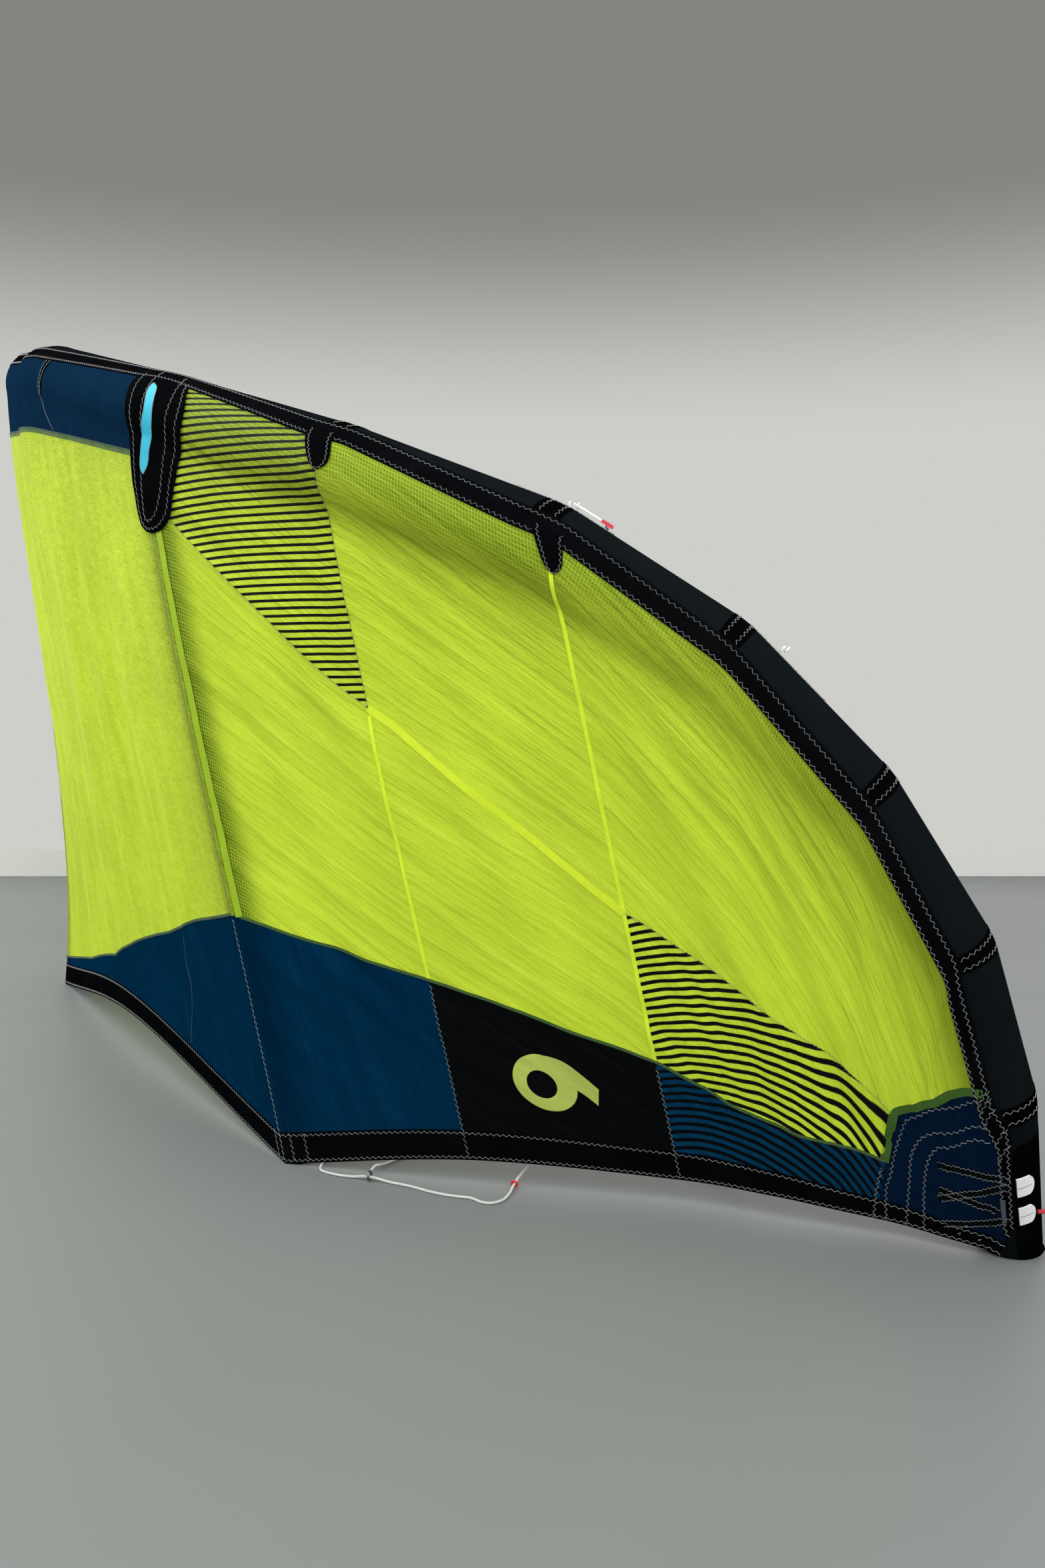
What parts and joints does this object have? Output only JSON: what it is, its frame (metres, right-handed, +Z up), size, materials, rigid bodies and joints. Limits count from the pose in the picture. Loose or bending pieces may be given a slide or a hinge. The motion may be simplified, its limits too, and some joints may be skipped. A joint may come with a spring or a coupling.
{
  "type": "inflatable kite",
  "caption": "Inflated kitesurfing kite with a tubular leading edge, struts and a panelled cloth canopy, standing on its strut ends and wingtips.",
  "frame": {"origin": "bottom centre of the kite's box without its cords, on the floor it stands on", "axes": "+Z up; +X along the span to the tip on the right when seen from outside; -Y towards the outer side of the arc; X = 0 is the symmetry plane of tubes and cloth"},
  "size_m": [4.5672, 1.9696, 1.8587],
  "materials": {
    "tube_cloth": "matte black woven polyester",
    "black_cloth": "black reinforcement cloth with pale stitching",
    "navy_cloth": "navy ripstop",
    "blue_cloth": "teal-blue ripstop",
    "lime_cloth": "translucent lime ripstop",
    "webbing": "white woven tape",
    "bridle_cord": "white braided line",
    "red_cord": "red braided cord",
    "bead_plastic": "red glossy bead",
    "ring_metal": "dark anodised ring"
  },
  "bodies": {
    "root": {"bridle_bead": "bead_plastic", "bridle_leg": "bridle_cord", "bridle_line": "bridle_cord", "bridle_ring": "ring_metal", "canopy_black_left": "black_cloth", "canopy_black_right": "black_cloth", "canopy_blue_inner_left": "blue_cloth", "canopy_blue_inner_right": "blue_cloth", "canopy_blue_outer_left": "blue_cloth", "canopy_blue_outer_right": "blue_cloth", "canopy_lime_inner_left": "lime_cloth", "canopy_lime_inner_right": "lime_cloth", "canopy_lime_one_left": "lime_cloth", "canopy_lime_one_right": "lime_cloth", "canopy_lime_three_left": "lime_cloth", "canopy_lime_three_right": "lime_cloth", "canopy_lime_two_left": "lime_cloth", "canopy_lime_two_right": "lime_cloth", "canopy_navy_inner_left": "navy_cloth", "canopy_navy_inner_right": "navy_cloth", "canopy_navy_tip_left": "navy_cloth", "canopy_navy_tip_right": "navy_cloth", "canopy_striped_blue_left": "blue_cloth", "canopy_striped_blue_right": "blue_cloth", "canopy_striped_lower_left": "lime_cloth", "canopy_striped_lower_right": "lime_cloth", "canopy_striped_upper_left": "lime_cloth", "canopy_striped_upper_right": "lime_cloth", "edge_strip_left": "black_cloth", "edge_strip_right": "black_cloth", "hem_band_left": "black_cloth", "hem_band_right": "black_cloth", "leading_edge_1_left": "tube_cloth", "leading_edge_1_right": "tube_cloth", "leading_edge_2_left": "tube_cloth", "leading_edge_2_right": "tube_cloth", "leading_edge_3_left": "tube_cloth", "leading_edge_3_right": "tube_cloth", "leading_edge_4_left": "tube_cloth", "leading_edge_4_right": "tube_cloth", "leading_edge_5_left": "tube_cloth", "leading_edge_5_right": "tube_cloth", "leading_edge_6_left": "tube_cloth", "leading_edge_6_right": "tube_cloth", "leading_edge_7_left": "tube_cloth", "leading_edge_7_right": "tube_cloth", "leading_edge_8_left": "tube_cloth", "leading_edge_8_right": "tube_cloth", "leading_edge_centre": "tube_cloth", "strut_centre": "tube_cloth", "strut_cover_centre": "black_cloth", "strut_cover_side_left": "black_cloth", "strut_cover_side_right": "black_cloth", "strut_side_left": "tube_cloth", "strut_side_right": "tube_cloth", "tip_pigtail": "red_cord", "tongue_lower_left": "webbing", "tongue_lower_right": "webbing", "tongue_upper_left": "webbing", "tongue_upper_right": "webbing"}
  },
  "joints": []
}
